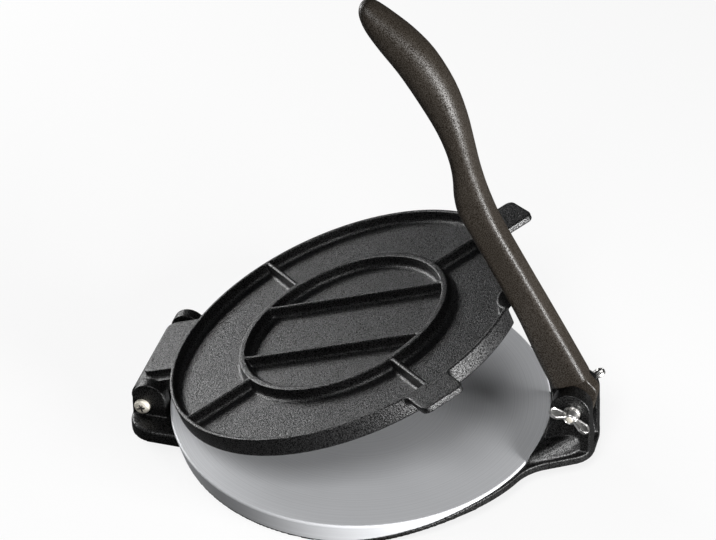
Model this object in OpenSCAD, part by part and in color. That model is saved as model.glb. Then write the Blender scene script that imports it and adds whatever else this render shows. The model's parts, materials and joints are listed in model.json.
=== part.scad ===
// Cast tortilla press: a black base casting that carries a bright round pressing plate, a hinged
// black lid, and a curved lever that swings between two ears at the free end of the lid.
// Millimetres. X runs from the lid hinge to the lever, Y is across, Z is up; it stands on z = 0.

/* [Pressing plate] */
// Diameter of the lower pressing face
platen_d = 271; // [220:1:320]
// Height of the pressing face above the table
platen_top = 19.5; // [17:0.5:26]
// Thickness of the plate under the pressing face
platen_plate = 7; // [5:0.5:9]
// Thickness of the skirt below the plate
skirt_wall = 6; // [4:0.5:9]
// How far the skirt draws in from the face to its foot
skirt_draft = 4; // [1:0.5:6]
// Radius on the top edge of the plate
platen_edge = 1.6; // [0.5:0.1:3]

/* [Lid] */
// How far the pressing face stands out past the lid all round
lid_inset = 4.5; // [1:0.5:8]
// Overall thickness of the lid
lid_h = 14.5; // [13:0.5:18]
// Depth of the recessed top below the rim
lid_recess = 8; // [5:0.5:9]
// Width of the rim, the ring and the ribs on top
rim_w = 3; // [2:0.2:5]
// Radius of the soft roots of rim, ring and ribs
root_r = 3; // [2:0.2:4]
// Diameter of the centre ring on the lid
ring_d = 156; // [120:1:180]
// Distance between the two straight bars inside the ring
bar_gap = 58; // [40:0.5:70]
// Depth of the notch for the lever's shank
notch_depth = 10; // [6:0.1:12]
// Radius of that notch
notch_r = 17; // [14:0.5:24]
// Distance between the edges of the shut lid and of the plate at the lever end
lid_edge_gap = 0.3; // [0.2:0.1:4]
// How far the lid stands open
lid_open = 20.8; // [0:0.1:60]
// Free height left between lid and plate when the lid is shut
press_gap = 0.3; // [0.2:0.1:2]

/* [Lifting tabs] */
// How far a lifting tab stands out from the lid
tab_reach = 23; // [15:1:35]
// Width of a lifting tab
tab_w = 32; // [22:1:40]
// Thickness of the lifting tabs and of the hinge tab
tab_h = 5; // [4:0.5:7]

/* [Lid hinge] */
// Outside diameter of the hinge knuckle
knuckle_d = 24; // [20:0.5:25]
// Gap between the knuckle and the edge of the pressing plate
knuckle_gap = 1; // [0.5:0.1:4]
// How far the hinge axis lies below the lid's pressing face
hinge_drop = 2.6; // [0:0.1:3]
// Length of the hinge knuckle
knuckle_l = 73; // [50:1:90]
// Width of the flat hinge tab above the knuckle
hinge_tab_w = 59; // [40:1:64]
// Gap between the knuckle and each hinge ear
side_gap = 0.5; // [0.3:0.1:1.5]
// Thickness of each hinge ear
hinge_ear = 9; // [7:0.5:14]
// Radius of the rounded top of each hinge ear
hinge_ear_r = 12.6; // [11.5:0.1:13.5]

/* [Base casting] */
// Thickness of the floor plate under the pressing plate
floor_t = 2; // [2:0.5:4]
// Overall width of the hinge foot
foot_w = 128; // [120:1:160]
// Height of the hinge foot
foot_h = 9.5; // [8:0.5:10]
// Corner radius of the hinge foot in plan
foot_r = 20; // [12:1:28]
// Width of the spine that runs under the pressing plate
spine_w = 32; // [20:1:60]

/* [Lever bracket] */
// Distance from the edge of the pressing plate to the lever pivot
pivot_gap = 20.8; // [19:0.1:40]
// Height of the lever pivot above the table
pivot_z = 51.6; // [48:0.1:60]
// Radius of the rounded top of each ear
ear_r = 14; // [12:0.5:15]
// Thickness of each lever ear
ear_t = 11.6; // [7:0.1:14]
// Height at which the raised underside of the bracket runs level
bracket_lift = 12; // [6:0.5:13]
// Thickness of the bracket's tray floor
tray_t = 3.4; // [3:0.2:6]
// Width of the raised lip around the tray
lip_w = 4.5; // [3:0.5:6]
// Height of the lip from its underside
lip_h = 6.6; // [5:0.2:10]

/* [Lever] */
// Lean of the lever from the table
lever_lean = 117.5; // [114:0.5:119]
// Thickness of the tongue that swings between the ears
tongue_t = 10; // [7:0.5:14]
// Width of the lever's shank
shank_w = 18; // [14:0.5:22]
// Width of the lever's grip
grip_w = 27; // [22:0.5:34]
// Gap between the lever's shoulders and the tops of the ears
shoulder_gap = 0.3; // [0.2:0.1:2]
// Play between the tongue and each ear
tongue_play = 0.4; // [0.2:0.1:1]

/* [Fasteners] */
// Diameter of the hinge screw
hinge_screw_d = 6; // [5:0.5:10]
// Diameter of the lever bolt
bolt_d = 6; // [5:0.5:8]
// Radial running clearance of the screw and the bolt in their bores
bore_clear = 0.05; // [0.02:0.01:0.09]
// Thickness of the flat and spring washers
washer_t = 1.2; // [1:0.1:2]
// Outside diameter of the washers
washer_d = 12; // [11:0.5:18]
// Height of the wing nut's boss
wing_boss_h = 5.5; // [5:0.5:10]
// Span of a wing pair
wing_span = 31; // [24:1:36]
// Turn of the wings about the bolt
wing_turn = 25; // [0:1:90]
// Diameter of the screws that hold the pressing plate
plate_screw_d = 6; // [4:0.5:8]
// Distance of those screws from the plate's centre
plate_screw_reach = 88; // [50:1:100]

/* [Hidden] */
$fn = 96;

// Main radii
platen_r = platen_d / 2;
platen_under = platen_top - platen_plate;
skirt_foot_r = platen_r - skirt_draft;
floor_r = skirt_foot_r - 0.5;
lid_r = platen_r - lid_inset;
lid_ahead = max(0, lid_inset - lid_edge_gap);
ring_r = ring_d / 2;
lid_floor = lid_h - lid_recess;
fit_gap = 0.3;

// Hinge axis, measured from the plate's centre
knuckle_r = knuckle_d / 2;
hinge_x = -platen_r - knuckle_gap - knuckle_r;
hinge_z = platen_top + press_gap - hinge_drop;
lid_reach = lid_ahead - hinge_x;
hinge_in = knuckle_l / 2 + side_gap;
hinge_out = hinge_in + hinge_ear;
hinge_tab_back = -1;
foot_back = 8.8;
foot_x0 = hinge_x - foot_back;
pocket_floor = hinge_z - knuckle_r - 0.4;

// Lever pivot and the planes of its ears; the ears' tops are centred a little off the pivot
pivot_reach = platen_r + pivot_gap;
ear_in = tongue_t / 2 + tongue_play;
ear_out = ear_in + ear_t;
ear_shift = [-1.6, 0.5];
shoulder_s = ear_r + norm(ear_shift) + shoulder_gap;
nut_face = ear_out + 2 * washer_t;
bolt_end = nut_face + wing_boss_h;
bolt_head_face = ear_out + washer_t;

// Plan of the bracket that carries the ears: a blunt nose that runs back into the round base
bracket_x1 = pivot_reach + 15.2;
bracket_half = 18.5;
bracket_root_x = platen_r - 25.5;
bracket_root_half = bracket_half + (bracket_x1 - bracket_root_x) * tan(30.7);
bracket_corner = 20;
bracket_cove = 38;
slot_floor = pivot_z - shoulder_s - 5.6;
// The underside rises from rise_x0 to rise_x1, outside a ring wall of radius rise_r
rise_x0 = 15;
rise_x1 = platen_r - 25.5;
rise_r = platen_r - 25.5;
rise_wall = 6;
// Raised shoulders where the bracket meets the plate
shoulder_post_r = 5;
shoulder_in_z = platen_top + 1.5;
shoulder_mid_z = platen_top + 7;
shoulder_out_z = platen_top + 13.5;
// The bracket's root under the plate, and the pocket for it
root_w = 66;
root_top = platen_under + platen_plate / 2;

// The frame's origin is the middle of the object's box: from the back of the hinge to the tip of
// the wing bolt
tab_tail = hinge_tab_back * cos(lid_open) + (lid_h + hinge_drop) * sin(lid_open);
back_reach = max(knuckle_r, foot_back, tab_tail) - hinge_x;
wing_tail = wing_span / 2 * cos(wing_turn) + 0.4;
front_reach = pivot_reach + max(wing_tail, bracket_x1 - pivot_reach);
origin_shift = (back_reach - front_reach) / 2;

// Smooth step from 0 to 1
function ease(t) = let(c = min(1, max(0, t))) c * c * (3 - 2 * c);
// Points on a circular arc
function arc(c, r, a0, a1, n = 8) =
    [for (i = [0:n]) let(a = a0 + (a1 - a0) * i / n) c + r * [cos(a), sin(a)]];

module along_y(x, z, y0, y1, r) {
    translate([x, y0, z]) rotate([-90, 0, 0]) cylinder(r = r, h = y1 - y0);
}

// Outline in the XZ plane, extruded across Y
module across(y0, y1) {
    translate([0, y1, 0]) rotate([90, 0, 0]) linear_extrude(y1 - y0) children();
}

// ---- Pressing plate ----

module platen_outer(grow = 0) {
    rotate_extrude() polygon(concat(
        [[0, floor_t], [skirt_foot_r + grow, floor_t]],
        arc([platen_r - platen_edge, platen_top - platen_edge], platen_edge + grow, 0, 90),
        [[0, platen_top + grow]]));
}

module platen_hollow(shrink = 0) {
    translate([0, 0, floor_t - 1])
        cylinder(r = skirt_foot_r - skirt_wall - shrink, h = platen_under - floor_t + 1);
}

// Spots of the screws that hold the plate
module at_plate_screws() {
    for (a = [0:90:270]) rotate(a) translate([plate_screw_reach, 0, 0]) children();
}

module lower_platen() {
    color([0.72, 0.73, 0.75]) translate([origin_shift, 0, 0]) difference() {
        platen_outer();
        platen_hollow();
        // Gate in the skirt for the spine of the base
        translate([-platen_r - 1, -spine_w / 2 - fit_gap, floor_t - 1])
            cube([platen_r, spine_w + 2 * fit_gap, platen_under - floor_t + 1]);
        // Pocket for the root of the lever bracket
        translate([rise_r - rise_wall - fit_gap, -root_w / 2 - fit_gap, floor_t - 1])
            cube([platen_r, root_w + 2 * fit_gap, root_top - floor_t + 1]);
        // The skirt stands on the rising floor
        rising_floor_cut(floor_t, rise_r - rise_wall - fit_gap);
        // Blind tapped holes
        at_plate_screws() translate([0, 0, platen_under - 1])
            cylinder(r = plate_screw_d / 2 + bore_clear, h = platen_plate - 1, $fn = 32);
    }
}

head_h = 3.6;
head_d = plate_screw_d * 1.75;
head_sink = 0.8;
// Metal left between the screws' ends and the pressing face
screw_skin = 2.8;
module platen_screws() {
    color("silver") translate([origin_shift, 0, 0]) at_plate_screws() {
        translate([0, 0, head_sink]) cylinder(r = head_d / 2, h = head_h, $fn = 32);
        translate([0, 0, head_sink + 1])
            cylinder(r = plate_screw_d / 2, h = platen_top - screw_skin - head_sink - 1, $fn = 32);
    }
}

// ---- Base casting ----

// Height of the underside along X, and of the lip above it
function bracket_under(x) = bracket_lift * ease((x - rise_x0) / (rise_x1 - rise_x0));
lip_x0 = platen_r - 75;
function lip_rise(x) = floor_t + (lip_h - floor_t) * ease((x - lip_x0) / 60);

// Stations along X where the rise is drawn
rise_steps = 18;
rise_end = bracket_x1 + 2;
RISE_X = [for (i = [1:rise_steps]) rise_x0 + (rise_end - rise_x0) * i / rise_steps];

// Round part of the plan: it grows past the plate towards the lever
module round_plan() {
    grow = 3.5;
    translate([grow * 2, 0]) circle(r = floor_r + 4 - grow, $fn = 180);
}

module bracket_plan(inset = 0) {
    offset(r = bracket_corner) offset(delta = -bracket_corner - inset)
        offset(r = -bracket_cove) offset(delta = bracket_cove) {
            circle(r = floor_r);
            round_plan();
            polygon([[0, -bracket_root_half], [bracket_root_x, -bracket_root_half],
                     [bracket_x1, -bracket_half], [bracket_x1, bracket_half],
                     [bracket_root_x, bracket_root_half], [0, bracket_root_half]]);
        }
}

// Space below the rising underside plus a lift, outside a radius
module rising_floor_cut(lift, inner) {
    difference() {
        across(-platen_r - 20, platen_r + 20) polygon(concat([[rise_x0 - 2, -1.5]],
            [for (x = RISE_X) [x, bracket_under(x) + lift]], [[rise_end, -1.5]]));
        translate([0, 0, -3]) cylinder(r = inner, h = pivot_z);
    }
}

// Band between the underside and a height above it, seen from the side
module bracket_band(lip = false) {
    last = len(RISE_X) - 1;
    across(-platen_r - 20, platen_r + 20) polygon(concat(
        [for (x = RISE_X) [x, bracket_under(x)]],
        [for (i = [last:-1:0]) let(x = RISE_X[i])
            [x, bracket_under(x) + (lip ? lip_rise(x) : tray_t)]]));
}

// Tray with a lip round its outer edge
module bracket_tray() {
    intersection() {
        linear_extrude(pivot_z) bracket_plan();
        bracket_band();
    }
    intersection() {
        linear_extrude(pivot_z) difference() {
            bracket_plan();
            bracket_plan(lip_w);
        }
        bracket_band(lip = true);
    }
}

// Floor that carries the skirt where the underside rises
module rising_floor() {
    intersection() {
        difference() {
            cylinder(r = floor_r, h = pivot_z);
            translate([0, 0, -1]) cylinder(r = rise_r - rise_wall, h = pivot_z + 2);
        }
        across(-platen_r, platen_r) polygon(concat(
            [for (x = RISE_X) [x, bracket_under(x)]],
            [for (i = [len(RISE_X) - 1:-1:0]) [RISE_X[i], bracket_under(RISE_X[i]) + floor_t]]));
    }
    // Ring wall between the low floor and the rising one
    difference() {
        cylinder(r = rise_r, h = platen_under);
        translate([0, 0, -1]) cylinder(r = rise_r - rise_wall, h = platen_under + 2);
    }
    translate([rise_r - rise_wall, -root_w / 2, 0])
        cube([platen_r + 1.5 - rise_r + rise_wall, root_w, root_top]);
}

// Soft raised shoulder beside the ears, cut clear of the plate's edge
module bracket_shoulder() {
    foot_z = bracket_lift + 1;
    difference() {
        hull() for (m = [-1, 1]) {
            translate([platen_r - 7, m * 36, foot_z]) domed_post(shoulder_in_z - foot_z);
            translate([pivot_reach - 2, m * 18.5, foot_z]) domed_post(shoulder_mid_z - foot_z);
            translate([pivot_reach + 3, m * 13, foot_z]) domed_post(shoulder_out_z - foot_z);
        }
        cylinder(r = platen_r + fit_gap, h = pivot_z, $fn = 180);
        translate([platen_r, -ear_in, slot_floor]) cube([pivot_reach, 2 * ear_in, pivot_z]);
    }
}
module domed_post(h) {
    rotate_extrude($fn = 32) polygon(concat([[0, 0], [shoulder_post_r, 0]],
        arc([0, h - shoulder_post_r], shoulder_post_r, 0, 90, 6)));
}

// One lever ear: rounded top, front edge leaning out to the tray, back edge down to the plate
module lever_ear_outline() {
    top = [pivot_reach, pivot_z] + ear_shift;
    base_z = bracket_lift + 1;
    back_drop = 14;
    translate(top) circle(r = ear_r);
    polygon([top + [ear_r, 0], top - [ear_r, 0], top - [ear_r, back_drop],
             [platen_r + 1.2, platen_top + 1], [platen_r + 1.2, base_z - 1],
             [bracket_x1 - 0.6, base_z - 1]]);
}

module lever_ears() {
    intersection() {
        for (y0 = [ear_in, -ear_out]) across(y0, y0 + ear_t) lever_ear_outline();
        linear_extrude(pivot_z + 2 * ear_r) bracket_plan();
    }
    // Block between the ears below the slot
    across(-ear_in - 1, ear_in + 1) polygon([[platen_r + 1.2, bracket_lift + 0.5],
        [platen_r + 1.2, platen_top], [pivot_reach - 10, slot_floor], [pivot_reach + 10, slot_floor],
        [bracket_x1 - 1.5, bracket_lift + 0.5]]);
}

// Hinge ear: rounded top ahead of the axis, back edge down to the foot
module hinge_ear_outline() {
    c = [hinge_x + 5, hinge_z + 6.3];
    translate(c) circle(r = hinge_ear_r);
    polygon([c - [hinge_ear_r, 0], c + [hinge_ear_r, 0], [c[0] + hinge_ear_r, 2],
             [foot_x0 + 0.5, 2]]);
}

function foot_points(inset) =
    let(r = foot_r - inset, x0 = foot_x0 + foot_r, y0 = foot_w / 2 - foot_r, x1 = -platen_r + 45)
    concat(arc([x0, y0], r, 90, 180, 12), arc([x0, -y0], r, 180, 270, 12),
           [[x1, -y0 - r], [x1, y0 + r]]);

// Foot under the hinge, with a rounded top edge made in steps
module hinge_foot() {
    edge = 2.4;
    steps = 4;
    for (i = [0:steps]) {
        a = 90 * i / steps;
        linear_extrude(foot_h - edge + edge * sin(a)) polygon(foot_points(edge * (1 - cos(a))));
    }
}

module base_frame() {
    color([0.09, 0.09, 0.1]) translate([origin_shift, 0, 0]) difference() {
        union() {
            cylinder(r = floor_r, h = floor_t, $fn = 180);
            // Spine and cross arm that carry the pressing plate
            translate([-platen_r - 1.5, -spine_w / 2, 0])
                cube([platen_r + rise_r, spine_w, platen_under]);
            cross = skirt_foot_r - skirt_wall - 12;
            translate([-spine_w / 2, -cross, 0]) cube([spine_w, 2 * cross, platen_under]);
            rising_floor();
            difference() {
                union() {
                    bracket_shoulder();
                    hinge_foot();
                    bracket_tray();
                    lever_ears();
                    for (y0 = [hinge_in, -hinge_out]) across(y0, y0 + hinge_ear) hinge_ear_outline();
                }
                platen_outer(fit_gap);
            }
        }
        rising_floor_cut(0, rise_r);
        // Pocket for the knuckle between the hinge ears
        translate([foot_x0 - 5, -hinge_in, pocket_floor])
            cube([-platen_r + 0.5 - foot_x0 + 5, 2 * hinge_in, pivot_z]);
        // Bores
        along_y(hinge_x, hinge_z, -hinge_out - 1, hinge_out + 1, hinge_screw_d / 2 + bore_clear);
        along_y(pivot_reach, pivot_z, -ear_out - 1, ear_out + 1, bolt_d / 2 + bore_clear);
        at_plate_screws() {
            translate([0, 0, -1]) cylinder(r = head_d / 2 + 0.6, h = head_sink + head_h + 1, $fn = 32);
            translate([0, 0, -1]) cylinder(r = plate_screw_d / 2 + 0.25, h = platen_top, $fn = 32);
        }
    }
}

// ---- Lid ----
// Drawn shut, with the pressing face at z = 0 and the lid's centre at the origin

// Soft-rooted flank: climbs from just above the floor beside x0 up to x0
function flank(x0, r) = [for (i = [1:4]) let(a = 90 * i / 4)
    [x0 - r * (1 - sin(a)), lid_floor + r * (1 - cos(a))]];
function flipped(points) = [for (i = [len(points) - 1:-1:0]) [-points[i][0], points[i][1]]];
function shifted(points, dx) = [for (p = points) p + [dx, 0]];

// One side of a wall that stands on the lid's floor, from its root to its top
function wall_side(r, top, w) =
    concat([[-w / 2 - r - 2, lid_floor - 1]], flank(-w / 2 - 0.6, r), [[-w / 2, top]]);

// Small chamfer round the lid's lower edge
lid_low_edge = 1;
// The ring and the ribs end a touch below the rim
ring_w = 4.5;
ring_drop = 0.2;
rib_drop = 0.4;

module lid_rim_profile() {
    soft = 0.8;
    polygon(concat(
        shifted(wall_side(root_r, lid_h, rim_w), lid_r - rim_w / 2),
        arc([lid_r - soft, lid_h - soft], soft, 90, 0, 4),
        [[lid_r, lid_low_edge], [lid_r - lid_low_edge, 0], [lid_r - rim_w, 0]]));
}

module wall_profile(r, top, w) {
    side = wall_side(r, top, w);
    polygon(concat(side, flipped(side)));
}

module lid_ring_profile() {
    translate([ring_r - ring_w / 2, 0]) wall_profile(root_r, lid_h - ring_drop, ring_w);
}

// Rib along +X from x0 to x1
module rib(x0, x1) {
    translate([x0, 0, 0]) rotate([90, 0, 90]) linear_extrude(x1 - x0)
        wall_profile(root_r * 0.8, lid_h - rib_drop, rim_w);
}

// Flat tab level with the rim, rounded at its outer corners and flared at its root
module lifting_tab() {
    corner = 5;
    flare = 4;
    tip = lid_r + tab_reach;
    half = tab_w / 2;
    side = concat(
        [[lid_r - 2, 0], [lid_r - 2, half + flare]],
        arc([lid_r + flare - 1.6, half + flare], flare, 180, 270, 5),
        arc([tip - corner, half - corner], corner, 90, 0, 5));
    translate([0, 0, lid_h - tab_h]) linear_extrude(tab_h) for (m = [0, 1]) mirror([0, m])
        polygon(concat(side, [[tip, 0]]));
}

// Flat tab level with the rim, with the web and the knuckle below it
module hinge_tab() {
    corner = 5;
    tail = lid_reach + hinge_tab_back;
    half = hinge_tab_w / 2;
    translate([0, 0, lid_h - tab_h]) linear_extrude(tab_h) difference() {
        polygon(concat(
            [[-lid_r + 20, -half]],
            [for (q = arc([tail - corner, half - corner], corner, 90, 0, 5)) [-q[0], -q[1]]],
            [for (q = arc([tail - corner, half - corner], corner, 0, 90, 5)) [-q[0], q[1]]],
            [[-lid_r + 20, half]]));
        circle(r = lid_r - rim_w / 2);
    }
    linear_extrude(lid_h - tab_h + 0.5) difference() {
        translate([-lid_reach, -knuckle_l / 2]) square([lid_reach - lid_r + 20, knuckle_l]);
        circle(r = lid_r - rim_w / 2);
    }
    along_y(-lid_reach, -hinge_drop, -knuckle_l / 2, knuckle_l / 2, knuckle_r);
}

notch_x = lid_r - notch_depth + notch_r;
module lid_body() {
    difference() {
        union() {
            cylinder(r = lid_r - rim_w / 2, h = lid_floor, $fn = 180);
            rotate_extrude($fn = 180) lid_rim_profile();
            rotate_extrude($fn = 180) lid_ring_profile();
            for (a = [45, 135, 225, 315]) rotate(a) rib(ring_r - ring_w / 2, lid_r - rim_w / 2);
            intersection() {
                for (y = [-1, 1]) translate([0, y * bar_gap / 2, 0]) rib(-ring_r, ring_r);
                cylinder(r = ring_r - 1, h = lid_h);
            }
            for (a = [-45, 45]) rotate(a) lifting_tab();
            hinge_tab();
            // Wall round the notch
            intersection() {
                translate([notch_x, 0, 0]) cylinder(r = notch_r + rim_w, h = lid_h - rib_drop);
                cylinder(r = lid_r - rim_w / 2, h = lid_h, $fn = 180);
            }
        }
        // Notch that lets the lever's shank pass the free edge
        translate([notch_x, 0, -1]) cylinder(r = notch_r, h = lid_h + 2);
        along_y(-lid_reach, -hinge_drop, -knuckle_l, knuckle_l, hinge_screw_d / 2 + bore_clear);
    }
}

module lid() {
    color([0.12, 0.12, 0.125]) translate([origin_shift + hinge_x, 0, hinge_z])
        rotate([0, -lid_open, 0]) translate([lid_reach, 0, hinge_drop]) lid_body();
}

// ---- Hinge screw and nut ----

cross_w = 1.3;
module cross_recess(r, depth) {
    for (a = [0, 90]) rotate(a) translate([-r, -cross_w / 2, -depth]) cube([2 * r, cross_w, depth + 1]);
}

module hinge_screw() {
    head_r = hinge_screw_d * 0.96;
    head_t = hinge_screw_d * 0.6;
    end_y = hinge_out + washer_t + hinge_screw_d + 1;
    color("silver") translate([origin_shift + hinge_x, 0, hinge_z]) {
        difference() {
            translate([0, -hinge_out, 0]) rotate([90, 0, 0]) rotate_extrude(angle = 360, $fn = 48)
                polygon([[0, 0], [head_r, 0], [head_r, head_t * 0.45], [head_r * 0.86, head_t * 0.8],
                         [head_r * 0.5, head_t], [0, head_t]]);
            translate([0, -hinge_out - head_t, 0]) rotate([90, 20, 0]) cross_recess(head_r * 0.55, 1.8);
        }
        along_y(0, 0, -hinge_out - 0.5, end_y, hinge_screw_d / 2);
    }
}

module washer(y, outer_d, inner_d) {
    difference() {
        along_y(0, 0, y, y + washer_t, outer_d / 2);
        along_y(0, 0, y - 1, y + washer_t + 1, inner_d / 2);
    }
}

module hinge_nut_washer() {
    color("silver") translate([origin_shift + hinge_x, 0, hinge_z])
        washer(hinge_out, washer_d * hinge_screw_d / 6, hinge_screw_d + 0.4);
}

module hinge_lock_nut() {
    across_corners = hinge_screw_d * 1.92;
    collar_r = hinge_screw_d * 0.78;
    y0 = hinge_out + washer_t;
    color("silver") translate([origin_shift + hinge_x, 0, hinge_z]) difference() {
        union() {
            translate([0, y0, 0]) rotate([-90, 0, 0])
                cylinder(r = across_corners / 2, h = hinge_screw_d * 0.7, $fn = 6);
            along_y(0, 0, y0, y0 + hinge_screw_d, collar_r);
        }
        along_y(0, 0, y0 - 1, y0 + hinge_screw_d + 1, hinge_screw_d / 2 + bore_clear);
    }
}

// ---- Lever ----
// Drawn along +X from the pivot, with its outer side towards +Y and its width along Z

// Rows: distance from the pivot, inner side, outer side, share of the grip width, squareness
LEVER_ROWS = [
    [shoulder_s, -10.3, 16.6, 0, 5], [40, -9.4, 16.4, 0, 5], [60, -7.9, 16.1, 0, 5],
    [80, -6.6, 15.7, 0, 5], [110, -6.5, 15.1, 0, 5], [149, -6.7, 14.7, 0.05, 4.6],
    [167, -7, 16.1, 0.12, 4.2], [181, -3.3, 18.1, 0.22, 3.8], [195, 3, 20.9, 0.4, 3.4],
    [211, 7.7, 25.1, 0.65, 3.1], [231, 9.8, 30.2, 0.9, 2.9], [254, 8.5, 33.6, 1, 2.7],
    [279, 5.8, 32.4, 1, 2.6], [298, 1.8, 27, 0.96, 2.5], [313, -0.4, 20, 0.86, 2.4],
    [323, 0.4, 14.6, 0.72, 2.3], [328, 2.6, 11.4, 0.5, 2.2], [329.8, 4.8, 9, 0.25, 2]];
lever_steps = 3;
ring_points = 28;

function spline(a, b, c, d, t) = 0.5 * (2 * b + (c - a) * t + (2 * a - 5 * b + 4 * c - d) * t * t
    + (3 * b - a - 3 * c + d) * t * t * t);
lever_last = len(LEVER_ROWS) - 1;
LEVER_RINGS = [for (i = [0:lever_last - 1]) for (k = [0:(i == lever_last - 1 ? lever_steps : lever_steps - 1)])
    spline(LEVER_ROWS[max(0, i - 1)], LEVER_ROWS[i], LEVER_ROWS[i + 1],
           LEVER_ROWS[min(lever_last, i + 2)], k / lever_steps)];

function rounded(v, e) = sign(v) * pow(abs(v), 2 / e);
// From here to the tip the width share tapers the whole width, not only what the grip adds
taper_s = 290;
function lever_width(r) = r[0] > taper_s ? grip_w * max(0.1, r[3])
    : shank_w + (grip_w - shank_w) * r[3];
function lever_ring(r) = [for (j = [0:ring_points - 1]) let(a = 360 * j / ring_points)
    [r[0], (r[1] + r[2]) / 2 + rounded(cos(a), r[4]) * (r[2] - r[1]) / 2,
     rounded(sin(a), r[4]) * lever_width(r) / 2]];

module lever_bar() {
    n = ring_points;
    rings = len(LEVER_RINGS);
    points = [for (r = LEVER_RINGS) each lever_ring(r)];
    sides = [for (i = [0:rings - 2]) for (j = [0:n - 1]) let(k = (j + 1) % n)
        each [[i * n + k, i * n + j, (i + 1) * n + k], [(i + 1) * n + k, i * n + j, (i + 1) * n + j]]];
    caps = [[for (j = [0:n - 1]) j], [for (j = [n - 1:-1:0]) (rings - 1) * n + j]];
    polyhedron(points, concat(sides, caps));
}

// Flat tongue with a rounded heel on its outer side
module tongue_outline() {
    circle(r = 13);
    translate([5, 8.5]) circle(r = 9.5);
    polygon([[-3, -11.5], [24, -7.5], [24, 13], [8, 17.5], [-2, 14]]);
}

module lever() {
    color([0.2, 0.19, 0.18]) translate([origin_shift + pivot_reach, 0, pivot_z])
        rotate([0, -lever_lean, 0]) rotate([-90, 0, 0]) difference() {
            union() {
                lever_bar();
                translate([0, 0, -tongue_t / 2]) linear_extrude(tongue_t) tongue_outline();
            }
            translate([0, 0, -tongue_t]) cylinder(r = bolt_d / 2 + bore_clear, h = 2 * tongue_t);
        }
}

// ---- Lever bolt, washers and wing nut ----

// A pair of wings that rise from a boss along +Y, starting at y = 0
module wing_pair() {
    wing_t = 2.6;
    root = 3.2;
    tip_r = 4.6;
    lift = wing_boss_h + 1.5;
    for (s = [-1, 1]) translate([0, 0, wing_t / 2]) rotate([180, 0, 0]) linear_extrude(wing_t) hull() {
        translate([s * root, -2]) circle(r = 1.4, $fn = 24);
        translate([s * root, -wing_boss_h + 1.6]) circle(r = 1.2, $fn = 24);
        translate([s * (wing_span / 2 - tip_r), -lift + 1]) circle(r = tip_r, $fn = 32);
    }
}

module wing_boss() {
    rotate([-90, 0, 0]) rotate_extrude($fn = 48) polygon([[0, 0], [bolt_d * 0.86, 0],
        [bolt_d * 0.86, 1.6], [bolt_d * 0.72, wing_boss_h - 0.6], [bolt_d * 0.64, wing_boss_h], [0, wing_boss_h]]);
}

module at_pivot() {
    translate([origin_shift + pivot_reach, 0, pivot_z]) children();
}

module lever_wing_bolt() {
    color("silver") at_pivot() {
        translate([0, bolt_head_face, 0]) rotate([0, -wing_turn, 0]) {
            wing_boss();
            wing_pair();
        }
        along_y(0, 0, -bolt_end, bolt_head_face + 1, bolt_d / 2);
    }
}

module lever_bolt_washer() {
    color("silver") at_pivot() washer(ear_out, washer_d, bolt_d + 0.4);
}

module lever_nut_washer() {
    color("silver") at_pivot() washer(-ear_out - washer_t, washer_d, bolt_d + 0.4);
}

module lever_spring_washer() {
    split = 1;
    color("silver") at_pivot() difference() {
        washer(-ear_out - 2 * washer_t, washer_d - 1, bolt_d + 0.4);
        rotate([0, 50, 0]) translate([0, -ear_out - 2.5 * washer_t, -split / 2])
            cube([washer_d, 2 * washer_t, split]);
    }
}

module lever_wing_nut() {
    color("silver") at_pivot() difference() {
        translate([0, -nut_face, 0]) mirror([0, 1, 0]) rotate([0, wing_turn, 0]) {
            wing_boss();
            wing_pair();
        }
        along_y(0, 0, -bolt_end - 6, -nut_face + 1, bolt_d / 2 + bore_clear);
    }
}

base_frame();
lower_platen();
platen_screws();
lid();
hinge_screw();
hinge_nut_washer();
hinge_lock_nut();
lever();
lever_wing_bolt();
lever_bolt_washer();
lever_nut_washer();
lever_spring_washer();
lever_wing_nut();
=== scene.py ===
# Looks of the tortilla press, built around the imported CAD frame. Metres, the frame's own axes.
import bmesh
import bpy
import json
import math
from mathutils import Matrix, Vector


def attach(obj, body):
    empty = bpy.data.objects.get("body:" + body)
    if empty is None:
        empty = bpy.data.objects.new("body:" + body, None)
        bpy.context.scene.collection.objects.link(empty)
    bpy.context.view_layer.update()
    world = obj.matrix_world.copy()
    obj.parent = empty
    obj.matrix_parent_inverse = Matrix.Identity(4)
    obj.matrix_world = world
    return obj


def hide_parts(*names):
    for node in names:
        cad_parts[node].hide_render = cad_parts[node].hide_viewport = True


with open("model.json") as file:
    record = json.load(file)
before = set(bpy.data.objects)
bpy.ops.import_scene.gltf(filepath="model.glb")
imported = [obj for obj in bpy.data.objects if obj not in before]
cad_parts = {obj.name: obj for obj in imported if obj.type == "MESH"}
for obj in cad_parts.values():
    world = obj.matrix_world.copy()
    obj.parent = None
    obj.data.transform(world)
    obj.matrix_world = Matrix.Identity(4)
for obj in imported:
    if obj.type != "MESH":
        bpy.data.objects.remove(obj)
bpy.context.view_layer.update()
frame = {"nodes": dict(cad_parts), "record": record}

MM = 0.001


# ---- Places taken from the frame ----

JOINTS = {joint["name"]: joint for joint in frame["record"]["behaviour"]["joints"]}
HINGE = Vector(JOINTS["lid_hinge"]["pos_m"])
PIVOT = Vector(JOINTS["lever_pivot"]["pos_m"])
LID_OPEN = math.radians(-JOINTS["lid_hinge"]["range_deg"][0])
LID_AXES = Matrix.Translation(HINGE) @ Matrix.Rotation(-LID_OPEN, 4, "Y")
HINGE_TO_PLATE = 0.1485
PLATE_X = HINGE.x + HINGE_TO_PLATE


def reach_y(node_name, end):
    """The least or the greatest Y of one node of the frame, in millimetres."""
    node = frame["nodes"][node_name]
    return end((node.matrix_world @ vertex.co).y for vertex in node.data.vertices) / MM


# ---- Node helpers for materials ----

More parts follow.
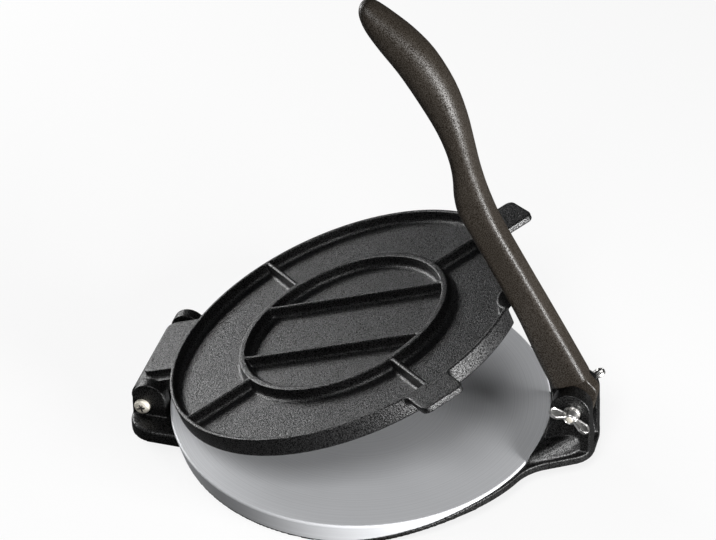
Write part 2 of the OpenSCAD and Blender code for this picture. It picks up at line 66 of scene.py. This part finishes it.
class Shader:
    """One material's node tree, with short calls for the nodes used here."""

    def __init__(self, name, colour, roughness, metallic=0.0, specular=0.5):
        self.material = bpy.data.materials.new(name)
        self.material.use_nodes = True
        self.nodes = self.material.node_tree.nodes
        self.links = self.material.node_tree.links
        self.principled = self.nodes["Principled BSDF"]
        self.place = self.nodes.new("ShaderNodeTexCoord").outputs["Object"]
        self.set("Base Color", (*colour, 1.0))
        self.set("Roughness", roughness)
        self.set("Metallic", metallic)
        self.set("Specular IOR Level", specular)

    def set(self, socket, value):
        self.principled.inputs[socket].default_value = value

    def join(self, source, socket):
        self.links.new(source, self.principled.inputs[socket])

    def noise(self, size_mm, detail, roughness=0.55):
        """Noise over the object's own axes, with grains of about the given size."""
        node = self.nodes.new("ShaderNodeTexNoise")
        node.inputs["Scale"].default_value = 1.0 / (size_mm * MM)
        node.inputs["Detail"].default_value = detail
        node.inputs["Roughness"].default_value = roughness
        self.links.new(self.place, node.inputs["Vector"])
        return node.outputs["Fac"]

    def remap(self, source, low, high, to_low=0.0, to_high=1.0):
        node = self.nodes.new("ShaderNodeMapRange")
        ends = {"From Min": low, "From Max": high, "To Min": to_low, "To Max": to_high}
        for socket, value in ends.items():
            node.inputs[socket].default_value = value
        self.links.new(source, node.inputs["Value"])
        return node.outputs["Result"]

    def mix(self, factor, first, second):
        """The colour that lies between two plain colours."""
        node = self.nodes.new("ShaderNodeMix")
        node.data_type = "RGBA"
        self.links.new(factor, node.inputs["Factor"])
        ends = [socket for socket in node.inputs if socket.type == "RGBA"]
        for socket, colour in zip(ends, (first, second)):
            socket.default_value = (*colour, 1.0)
        return [socket for socket in node.outputs if socket.type == "RGBA"][0]

    def math(self, operation, first, second):
        node = self.nodes.new("ShaderNodeMath")
        node.operation = operation
        for index, value in enumerate((first, second)):
            if isinstance(value, (int, float)):
                node.inputs[index].default_value = value
            else:
                self.links.new(value, node.inputs[index])
        return node.outputs["Value"]

    def bump(self, height, distance, strength=1.0, under=None):
        node = self.nodes.new("ShaderNodeBump")
        node.inputs["Strength"].default_value = strength
        node.inputs["Distance"].default_value = distance
        self.links.new(height, node.inputs["Height"])
        if under:
            self.links.new(under, node.inputs["Normal"])
        return node.outputs["Normal"]


def casting(name, dark, light, roughness, grain_mm, depth_mm):
    """Coated sand casting: a fine pebbled skin with slow changes of tone and sheen."""
    coarse_mm, patch_mm, sheen = 4 * grain_mm, 60, 0.07
    s = Shader(name, dark, roughness)
    grain = s.noise(grain_mm, 2.0, 0.5)
    coarse = s.noise(coarse_mm, 3.0)
    patches = s.noise(patch_mm, 3.0)
    grain_tone = s.remap(grain, 0.35, 0.65, 0.0, 0.75)
    patch_tone = s.remap(patches, 0.3, 0.7, 0.0, 0.25)
    s.join(s.mix(s.math("ADD", grain_tone, patch_tone), dark, light), "Base Color")
    # The hollows between the grains hardly shine
    s.join(s.remap(grain, 0.4, 0.6, 0.06, 0.9), "Specular IOR Level")
    both = s.math("ADD", patches, grain)
    s.join(s.remap(both, 0.7, 1.3, roughness - sheen, roughness + sheen), "Roughness")
    fine = s.bump(grain, depth_mm * MM)
    s.join(s.bump(coarse, 1.5 * depth_mm * MM, 0.5, fine), "Normal")
    return s.material


def machined(name, colour, roughness):
    """Turned face: thin rings about the plate's centre, with small smudges."""
    ring_mm, ring_depth_mm, smudge_mm = 0.9, 0.02, 50
    s = Shader(name, colour, roughness, metallic=0.2)
    split = s.nodes.new("ShaderNodeSeparateXYZ")
    s.links.new(s.place, split.inputs["Vector"])
    combine = s.nodes.new("ShaderNodeCombineXYZ")
    s.links.new(s.math("ADD", split.outputs["X"], -PLATE_X), combine.inputs["X"])
    s.links.new(split.outputs["Y"], combine.inputs["Y"])
    from_centre = s.nodes.new("ShaderNodeVectorMath")
    from_centre.operation = "LENGTH"
    s.links.new(combine.outputs["Vector"], from_centre.inputs[0])
    rings = s.nodes.new("ShaderNodeTexNoise")
    rings.noise_dimensions = "1D"
    rings.inputs["Scale"].default_value = 1.0 / (ring_mm * MM)
    rings.inputs["Detail"].default_value = 2.0
    s.links.new(from_centre.outputs["Value"], rings.inputs["W"])
    smudge = s.noise(smudge_mm, 4.0)
    s.join(s.remap(smudge, 0.3, 0.7, roughness - 0.06, roughness + 0.1), "Roughness")
    groove = tuple(0.9 * c for c in colour)
    s.join(s.mix(s.remap(rings.outputs["Fac"], 0.3, 0.7), groove, colour), "Base Color")
    s.join(s.bump(rings.outputs["Fac"], ring_depth_mm * MM, 0.5), "Normal")
    return s.material


def zinc(name, colour, roughness, metallic=1.0):
    """Zinc-plated steel with faint cloudy wear."""
    cloud_mm, grain_mm, grain_depth_mm = 3, 0.4, 0.02
    s = Shader(name, colour, roughness, metallic=metallic)
    cloud = s.noise(cloud_mm, 3.0)
    worn = tuple(0.72 * c for c in colour)
    s.join(s.mix(s.remap(cloud, 0.3, 0.7), worn, colour), "Base Color")
    s.join(s.remap(cloud, 0.3, 0.7, roughness + 0.12, roughness - 0.04), "Roughness")
    s.join(s.bump(s.noise(grain_mm, 2.0), grain_depth_mm * MM), "Normal")
    return s.material


BASE_BLACK = casting("base_black", dark=(0.001, 0.001, 0.001), light=(0.004, 0.004, 0.004),
                     roughness=0.41, grain_mm=0.75, depth_mm=0.16)
LID_BLACK = casting("lid_black", dark=(0.001, 0.001, 0.001), light=(0.012, 0.012, 0.0125),
                    roughness=0.41, grain_mm=0.8, depth_mm=0.26)
LEVER_BROWN = casting("lever_brown", dark=(0.009, 0.007, 0.005), light=(0.034, 0.027, 0.02),
                      roughness=0.48, grain_mm=0.7, depth_mm=0.12)
# Painted shade, for the dark cross over the hinge screw's recess
RECESS_SHADE = casting("recess_shade", dark=(0.01, 0.009, 0.008), light=(0.05, 0.045, 0.04),
                       roughness=0.6, grain_mm=0.3, depth_mm=0.02)
PLATE_METAL = machined("plate_metal", (0.7, 0.71, 0.73), 0.5)
ZINC = zinc("zinc_steel", (0.86, 0.85, 0.83), 0.3)
# Paler and warmer, for the hinge screw and for the bolt's cut end
CUT_ENDS = zinc("zinc_cut_ends", (0.8, 0.76, 0.66), 0.5, metallic=0.3)

NODE_MATERIALS = {
    "base_frame": BASE_BLACK, "lower_platen": PLATE_METAL, "platen_screws": ZINC,
    "lid": LID_BLACK, "hinge_screw": CUT_ENDS, "hinge_nut_washer": ZINC, "hinge_lock_nut": ZINC,
    "lever": LEVER_BROWN, "lever_wing_bolt": ZINC, "lever_bolt_washer": ZINC,
    "lever_nut_washer": ZINC, "lever_spring_washer": ZINC, "lever_wing_nut": ZINC,
}
for node_name, material in NODE_MATERIALS.items():
    node = frame["nodes"][node_name]
    node.data.materials.clear()
    node.data.materials.append(material)


# ---- Castings with soft edges ----

def with_modifiers(piece):
    """The piece's mesh after its modifiers, which are then taken off."""
    bpy.context.view_layer.update()
    graph = bpy.context.evaluated_depsgraph_get()
    finished = bpy.data.meshes.new_from_object(piece.evaluated_get(graph))
    piece.modifiers.clear()
    old = piece.data
    piece.data = finished
    bpy.data.meshes.remove(old)
    return finished


def casting_skin(node_name, body, voxel_mm, passes, keep, axes=Matrix.Identity(4)):
    """A casting as the foundry leaves it: the CAD shape with each edge and root worn soft.

    The shape is rebuilt from small cubes along the given axes, smoothed, and thinned to a share
    of its faces, so that it exports whole, under the exporter's 200,000 faces.
    """
    mesh = frame["nodes"][node_name].data.copy()
    mesh.transform(axes.inverted())
    piece = bpy.data.objects.new(node_name + "_casting", mesh)
    bpy.context.scene.collection.objects.link(piece)
    weld = piece.modifiers.new("weld", "WELD")
    weld.merge_threshold = 0.002 * MM
    remesh = piece.modifiers.new("remesh", "REMESH")
    remesh.mode = "VOXEL"
    remesh.voxel_size = voxel_mm * MM
    smooth = piece.modifiers.new("smooth", "SMOOTH")
    smooth.factor = 0.5
    smooth.iterations = passes
    thin = piece.modifiers.new("thin", "DECIMATE")
    thin.ratio = keep
    finished = with_modifiers(piece)
    finished.transform(axes)
    finished.shade_smooth()
    finished.materials.clear()
    finished.materials.append(NODE_MATERIALS[node_name])
    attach(piece, body)
    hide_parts(node_name)


casting_skin("lid", "lid", voxel_mm=0.7, passes=4, keep=0.25, axes=LID_AXES)
casting_skin("base_frame", "base", voxel_mm=0.7, passes=4, keep=0.25)
casting_skin("lever", "lever", voxel_mm=0.8, passes=8, keep=0.6)


# ---- Wing nut and wing bolt ----
# Both are drawn on their own axis, +Y outwards from the face that they press on, in millimetres

# Faces that the nut and the bolt's head press on, and the bolt's end, from the pivot
NUT_FACE = PIVOT.y / MM - reach_y("lever_wing_nut", max)
BOLT_HEAD_FACE = reach_y("lever_bolt_washer", max) - PIVOT.y / MM
BOLT_END = PIVOT.y / MM - reach_y("lever_wing_bolt", min)
BOLT_RADIUS, SHANK_IN_HEAD = 3.0, 1.0
THREAD_START, THREAD_RUNOUT, THREAD_CRESTS = 8.4, 0.4, 16
THREAD_PITCH, THREAD_DEPTH = 1.0, 0.35
# The bolt's end: radius where the chamfer starts, its length, and radius of the cut face
CHAMFER_RADIUS, CHAMFER_LENGTH, CUT_RADIUS = 2.55, 0.15, 2.25
CUT_BAND = 0.3    # faces this near the end have the cut end's colour
WING_TURN = math.radians(25)
# Radius and height up the boss, from the face that it presses on
BOSS_PROFILE = [(5.0, 0.0), (5.16, 0.2), (5.16, 1.45), (5.06, 1.85),
                (4.5, 4.5), (4.34, 4.95), (4.0, 5.35), (3.6, 5.5)]
NUT_MOUTH = [(3.25, 5.4), (3.06, 5.1), (3.06, 0.0)]
BOLT_CROWN = [(2.0, 5.5), (0.0, 5.5)]
# Discs whose common outline is one wing: distance from the axis, height, radius
WING_DISCS = [(3.2, 2.0, 1.4), (3.2, 3.9, 1.2), (10.9, 6.0, 4.6)]
# From the middle of the dished panel over the rim: set in from the outline, half thickness
WING_SECTION = [(1.3, 0.45), (1.15, 0.55), (0.98, 1.1), (0.78, 1.27),
                (0.35, 1.3), (0.1, 1.12), (0.0, 0.8)]
WING_CORNERS, TURNED_CORNERS = 72, 64
SMALLEST_RADIUS = 0.01    # stands for a point on the axis
SHARP_EDGE = math.radians(50)


def wing_loop(side, inset, height):
    """The wing's outline, set in, at one height over its middle plane."""
    loop = []
    for k in range(WING_CORNERS):
        angle = 2 * math.pi * k / WING_CORNERS
        along, up = math.cos(angle), math.sin(angle)
        x, y, r = max(WING_DISCS, key=lambda d: d[0] * along + d[1] * up + d[2])
        loop.append(Vector((side * (x + (r - inset) * along), y + (r - inset) * up, height)))
    return loop


def add_loops(mesh, loops, closed=False):
    """Skins a row of equal rings; an end ring is closed by one face, or the row runs round."""
    rings = [[mesh.verts.new(place) for place in loop] for loop in loops]
    pairs = list(zip(rings, rings[1:])) + ([(rings[-1], rings[0])] if closed else [])
    for low, high in pairs:
        for k in range(len(low)):
            mesh.faces.new((low[k - 1], low[k], high[k], high[k - 1]))
    if not closed:
        mesh.faces.new(rings[0])
        mesh.faces.new(rings[-1])


def add_turned(mesh, profile, closed=False):
    """Turns a profile of radius and height about the Y axis."""
    turns = [2 * math.pi * k / TURNED_CORNERS for k in range(TURNED_CORNERS)]
    loops = []
    for radius, y in profile:
        r = max(radius, SMALLEST_RADIUS)
        loops.append([Vector((r * math.cos(t), y, r * math.sin(t))) for t in turns])
    add_loops(mesh, loops, closed)


def add_wings(mesh):
    for side in (-1, 1):
        front = [wing_loop(side, inset, height) for inset, height in WING_SECTION]
        back = [wing_loop(side, inset, -height) for inset, height in reversed(WING_SECTION)]
        add_loops(mesh, front + back)


def metal_piece(name, mesh, axes, body, node_name, materials):
    """A bright piece made from a mesh in millimetres, in place of one node of the frame."""
    mesh.transform(axes @ Matrix.Scale(MM, 4))
    bmesh.ops.recalc_face_normals(mesh, faces=mesh.faces)
    data = bpy.data.meshes.new(name)
    mesh.to_mesh(data)
    mesh.free()
    data.shade_smooth()
    for material in materials:
        data.materials.append(material)
    piece = bpy.data.objects.new(name, data)
    bpy.context.scene.collection.objects.link(piece)
    split = piece.modifiers.new("sharp_edges", "EDGE_SPLIT")
    split.split_angle = SHARP_EDGE
    with_modifiers(piece)
    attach(piece, body)
    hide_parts(node_name)
    return piece


nut = bmesh.new()
add_turned(nut, BOSS_PROFILE + NUT_MOUTH, closed=True)
add_wings(nut)
nut_axes = (Matrix.Translation(PIVOT + Vector((0, -NUT_FACE * MM, 0)))
            @ Matrix.Scale(-1, 4, (0, 1, 0)) @ Matrix.Rotation(WING_TURN, 4, "Y"))
metal_piece("wing_nut_forged", nut, nut_axes, "wing_nut", "lever_wing_nut", [ZINC])

# The bolt: head wings at the far side, then a plain shank, then crests up to a chamfered end
bolt = bmesh.new()
add_turned(bolt, [(0.0, 0.0)] + BOSS_PROFILE + BOLT_CROWN)
add_wings(bolt)
bolt.transform(Matrix.Rotation(-WING_TURN, 4, "Y"))
bolt.transform(Matrix.Translation((0, BOLT_HEAD_FACE, 0)))
shank_top = BOLT_HEAD_FACE + SHANK_IN_HEAD
shank = [(0.0, shank_top), (BOLT_RADIUS, shank_top), (BOLT_RADIUS, THREAD_RUNOUT - THREAD_START)]
for crest in range(THREAD_CRESTS):
    y = -THREAD_START - THREAD_PITCH * crest
    shank += [(BOLT_RADIUS - THREAD_DEPTH, y), (BOLT_RADIUS, y - THREAD_PITCH / 2)]
shank += [(CHAMFER_RADIUS, CHAMFER_LENGTH - BOLT_END), (CUT_RADIUS, -BOLT_END), (0.0, -BOLT_END)]
add_turned(bolt, shank)
bolt_piece = metal_piece("wing_bolt_forged", bolt, Matrix.Translation(PIVOT), "base",
                         "lever_wing_bolt", [ZINC, CUT_ENDS])
for face in bolt_piece.data.polygons:
    if face.center.y < PIVOT.y - (BOLT_END - CUT_BAND) * MM:
        face.material_index = 1


# ---- Painted shade in the cross recess of the hinge screw ----
# Painted shade: a dark cross laid over the pan head's face, standing for the shade at the bottom
# of its recess

RECESS_PROUD, RECESS_DEPTH = 0.02, 0.5    # over the head's face, and inwards from there
RECESS_FACE = HINGE.y / MM - reach_y("hinge_screw", min) + RECESS_PROUD
RECESS_REACH, RECESS_HALF_WIDTH = 3.1, 0.62
RECESS_TURN = math.radians(20)
ARM = ((RECESS_REACH, -RECESS_HALF_WIDTH), (RECESS_REACH, RECESS_HALF_WIDTH),
       (RECESS_HALF_WIDTH, RECESS_HALF_WIDTH))

corner_row = []
for quarter in range(4):
    turn = Matrix.Rotation(quarter * math.pi / 2 + RECESS_TURN, 2)
    corner_row += [turn @ Vector(corner) for corner in ARM]
cross = bmesh.new()
add_loops(cross, [[Vector((c.x, y, c.y)) for c in corner_row] for y in (RECESS_DEPTH, 0.0)])
cross.transform(Matrix.Translation(HINGE) @ Matrix.Scale(MM, 4)
                @ Matrix.Translation((0, -RECESS_FACE, 0)))
bmesh.ops.recalc_face_normals(cross, faces=cross.faces)
cross_mesh = bpy.data.meshes.new("hinge_screw_recess_shade")
cross.to_mesh(cross_mesh)
cross.free()
# The cross is coloured as painted shade
cross_mesh.materials.append(RECESS_SHADE)
recess = bpy.data.objects.new("hinge_screw_recess_shade", cross_mesh)
bpy.context.scene.collection.objects.link(recess)
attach(recess, "base")


# ---- Stage, light and camera ----

# The table is white to the camera and grey to the light that bounces up from it
TABLE_REACH = 6.0    # from the middle to each side
TABLE_WHITE, TABLE_BOUNCE = (0.86, 0.86, 0.86), (0.1, 0.1, 0.1)
# Plain white that is added to what the camera sees, so that only the shadow stays
GLOW_SHARE, GLOW_STRENGTH = 0.75, 1.05
SKY_COLOUR, SKY_STRENGTH = (0.95, 0.97, 1.0), 0.035


def make_floor():
    mesh = bpy.data.meshes.new("floor")
    square = ((-1, -1), (1, -1), (1, 1), (-1, 1))
    corners = [(x * TABLE_REACH, y * TABLE_REACH, 0) for x, y in square]
    mesh.from_pydata(corners, [], [(0, 1, 2, 3)])
    floor = bpy.data.objects.new("floor", mesh)
    bpy.context.scene.collection.objects.link(floor)
    s = Shader("floor_white", TABLE_WHITE, 0.9, specular=0.1)
    to_camera = s.nodes.new("ShaderNodeLightPath").outputs["Is Camera Ray"]
    s.join(s.mix(to_camera, TABLE_BOUNCE, TABLE_WHITE), "Base Color")
    glow = s.nodes.new("ShaderNodeEmission")
    glow.inputs["Strength"].default_value = GLOW_STRENGTH
    mixer = s.nodes.new("ShaderNodeMixShader")
    s.links.new(s.math("MULTIPLY", to_camera, GLOW_SHARE), mixer.inputs["Fac"])
    s.links.new(s.principled.outputs["BSDF"], mixer.inputs[1])
    s.links.new(glow.outputs["Emission"], mixer.inputs[2])
    s.links.new(mixer.outputs["Shader"], s.nodes["Material Output"].inputs["Surface"])
    mesh.materials.append(s.material)


def make_world():
    """White to the camera, and a faint cool sky to everything else."""
    world = bpy.data.worlds.new("studio")
    bpy.context.scene.world = world
    world.use_nodes = True
    nodes, links = world.node_tree.nodes, world.node_tree.links
    path = nodes.new("ShaderNodeLightPath")
    white = nodes.new("ShaderNodeBackground")
    white.inputs["Strength"].default_value = 1.0
    soft = nodes["Background"]
    soft.inputs["Color"].default_value = (*SKY_COLOUR, 1)
    soft.inputs["Strength"].default_value = SKY_STRENGTH
    mixer = nodes.new("ShaderNodeMixShader")
    links.new(path.outputs["Is Camera Ray"], mixer.inputs["Fac"])
    links.new(soft.outputs["Background"], mixer.inputs[1])
    links.new(white.outputs["Background"], mixer.inputs[2])
    links.new(mixer.outputs["Shader"], nodes["World Output"].inputs["Surface"])


# Name, place, point that it is aimed at, width and height, watts
LAMPS = [
    ("back_left", (-1.8, 0.9, 0.55), (0, 0, 0.05), (1.2, 0.7), 40),
    ("front", (0.1, -1.5, 2.0), (0, 0, 0.2), (0.8, 0.8), 28),
    ("right", (1.5, -0.6, 0.2), (0.1, 0, 0.1), (0.9, 0.36), 62),
]


def area_light(name, place, aim, size, watts):
    light = bpy.data.lights.new(name, "AREA")
    light.shape = "RECTANGLE"
    light.size, light.size_y = size
    light.energy = watts
    lamp = bpy.data.objects.new(name, light)
    lamp.location = place
    lamp.rotation_euler = (Vector(aim) - Vector(place)).to_track_quat("-Z", "Y").to_euler()
    lamp.visible_camera = False
    bpy.context.scene.collection.objects.link(lamp)


# Camera, solved from the press's own circles and pins and placed from the hinge axis
CAMERA_PLACE = Vector((PLATE_X + 0.4118, -1.3194, 1.17511))
CAMERA_YAW, CAMERA_PITCH, CAMERA_ROLL = 17.30, 37.03, -1.74
CAMERA_LENS, CAMERA_SENSOR = 127.11, 36.0


def make_camera():
    yaw, pitch, roll = (math.radians(a) for a in (CAMERA_YAW, CAMERA_PITCH, CAMERA_ROLL))
    ahead = Vector((-math.sin(yaw) * math.cos(pitch), math.cos(yaw) * math.cos(pitch),
                    -math.sin(pitch)))
    right = Vector((math.cos(yaw), math.sin(yaw), 0))
    up = right.cross(ahead)
    right_rolled = math.cos(roll) * right + math.sin(roll) * up
    up_rolled = -math.sin(roll) * right + math.cos(roll) * up
    turn = Matrix((right_rolled, up_rolled, -ahead)).transposed()
    data = bpy.data.cameras.new("camera")
    data.sensor_width = CAMERA_SENSOR
    data.lens = CAMERA_LENS
    camera = bpy.data.objects.new("camera", data)
    camera.matrix_world = Matrix.Translation(CAMERA_PLACE) @ turn.to_4x4()
    bpy.context.scene.collection.objects.link(camera)
    bpy.context.scene.camera = camera


make_floor()
make_world()
for lamp in LAMPS:
    area_light(*lamp)
make_camera()
bpy.context.scene.view_settings.view_transform = "Standard"
